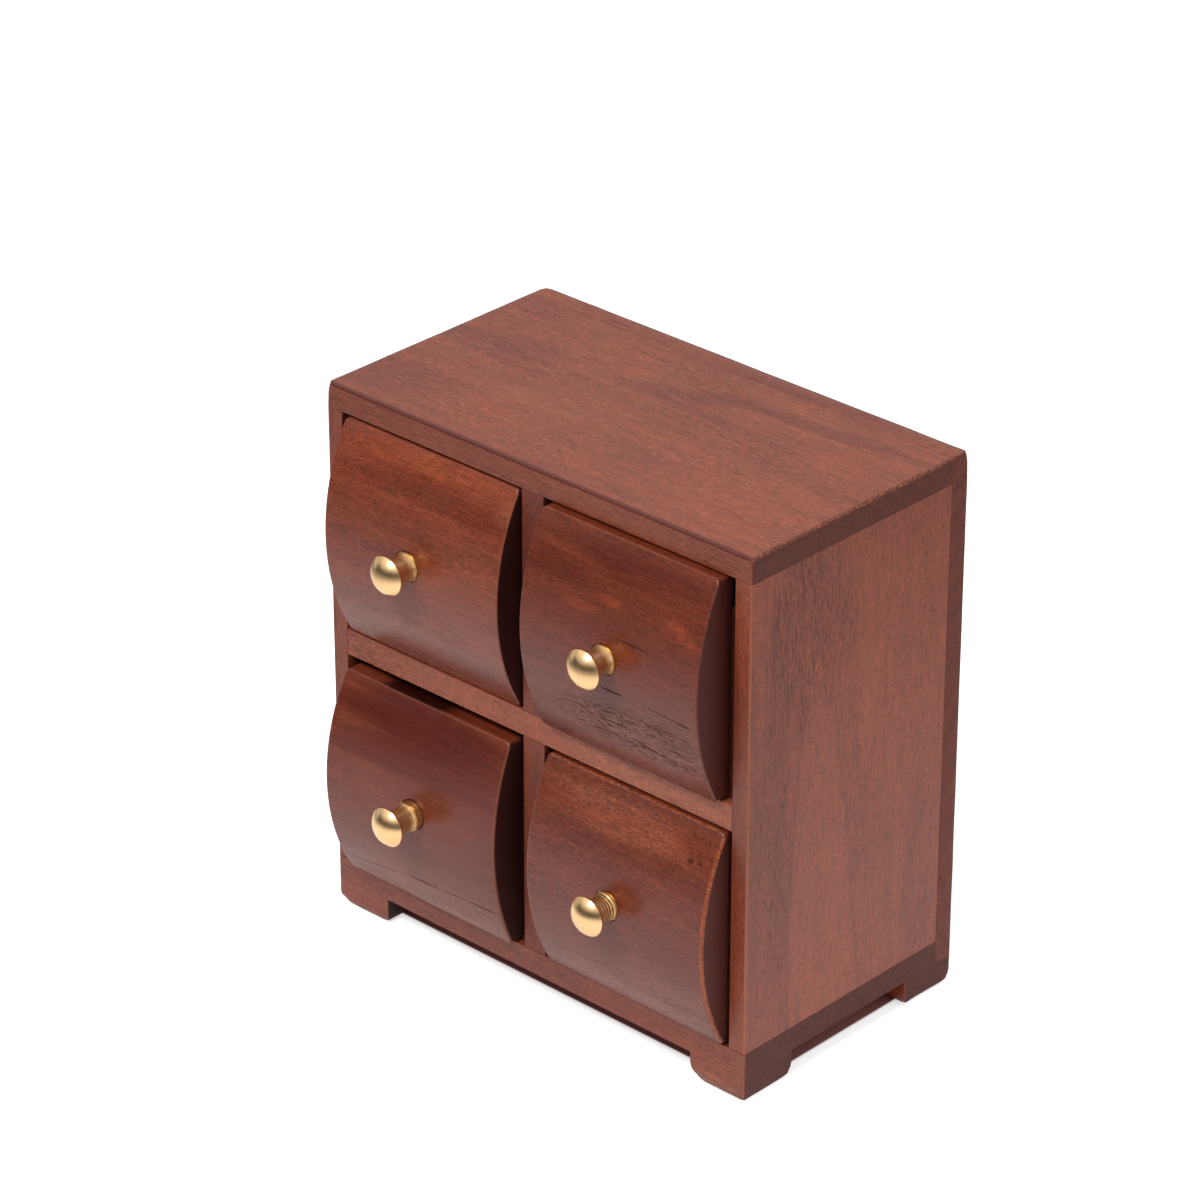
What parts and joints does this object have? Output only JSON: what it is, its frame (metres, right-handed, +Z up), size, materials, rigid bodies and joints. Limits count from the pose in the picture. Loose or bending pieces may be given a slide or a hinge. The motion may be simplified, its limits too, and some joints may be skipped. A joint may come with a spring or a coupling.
{
  "type": "wooden drawer organizer",
  "caption": "Small wooden chest with bowed drawer fronts, turned brass knobs and block feet, for sorting craft supplies and small parts.",
  "frame": {"origin": "on the floor, under the middle of the closed object's bounding box", "axes": "+Z up, -Y towards the drawer fronts, +X to the right seen from the front"},
  "size_m": [0.19, 0.1344, 0.202],
  "materials": {
    "case_wood": "satin stain",
    "drawer_front_wood": "satin stain",
    "drawer_box_wood": "thin matt stain",
    "drawer_bottom_wood": "bare plywood",
    "brass": "polished",
    "steel": "bright wire"
  },
  "bodies": {
    "case": {"top_board": "case_wood", "base_board": "case_wood", "left_side": "case_wood", "right_side": "case_wood", "back_panel": "case_wood", "shelf": "case_wood", "upper_divider": "case_wood", "lower_divider": "case_wood", "front_left_foot": "case_wood", "front_right_foot": "case_wood", "rear_left_foot": "case_wood", "rear_right_foot": "case_wood", "top_brads": "steel", "base_brads": "steel", "shelf_brads": "steel", "divider_brads": "steel", "back_brads": "steel", "foot_brads": "steel"},
    "drawer_upper_left": {"drawer_upper_left_front": "drawer_front_wood", "drawer_upper_left_left_side": "drawer_box_wood", "drawer_upper_left_right_side": "drawer_box_wood", "drawer_upper_left_back": "drawer_box_wood", "drawer_upper_left_bottom": "drawer_bottom_wood", "drawer_upper_left_knob": "brass", "drawer_upper_left_knob_screw": "steel", "drawer_upper_left_brads": "steel"},
    "drawer_upper_right": {"drawer_upper_right_front": "drawer_front_wood", "drawer_upper_right_left_side": "drawer_box_wood", "drawer_upper_right_right_side": "drawer_box_wood", "drawer_upper_right_back": "drawer_box_wood", "drawer_upper_right_bottom": "drawer_bottom_wood", "drawer_upper_right_knob": "brass", "drawer_upper_right_knob_screw": "steel", "drawer_upper_right_brads": "steel"},
    "drawer_lower_left": {"drawer_lower_left_front": "drawer_front_wood", "drawer_lower_left_left_side": "drawer_box_wood", "drawer_lower_left_right_side": "drawer_box_wood", "drawer_lower_left_back": "drawer_box_wood", "drawer_lower_left_bottom": "drawer_bottom_wood", "drawer_lower_left_knob": "brass", "drawer_lower_left_knob_screw": "steel", "drawer_lower_left_brads": "steel"},
    "drawer_lower_right": {"drawer_lower_right_front": "drawer_front_wood", "drawer_lower_right_left_side": "drawer_box_wood", "drawer_lower_right_right_side": "drawer_box_wood", "drawer_lower_right_back": "drawer_box_wood", "drawer_lower_right_bottom": "drawer_bottom_wood", "drawer_lower_right_knob": "brass", "drawer_lower_right_knob_screw": "steel", "drawer_lower_right_brads": "steel"}
  },
  "joints": [
    {"name": "upper_left_slide", "type": "slide", "parent": "case", "child": "drawer_upper_left", "axis": [0, -1, 0], "range_m": [0, 0.075]},
    {"name": "upper_right_slide", "type": "slide", "parent": "case", "child": "drawer_upper_right", "axis": [0, -1, 0], "range_m": [0, 0.075]},
    {"name": "lower_left_slide", "type": "slide", "parent": "case", "child": "drawer_lower_left", "axis": [0, -1, 0], "range_m": [0, 0.075]},
    {"name": "lower_right_slide", "type": "slide", "parent": "case", "child": "drawer_lower_right", "axis": [0, -1, 0], "range_m": [0, 0.075]}
  ]
}
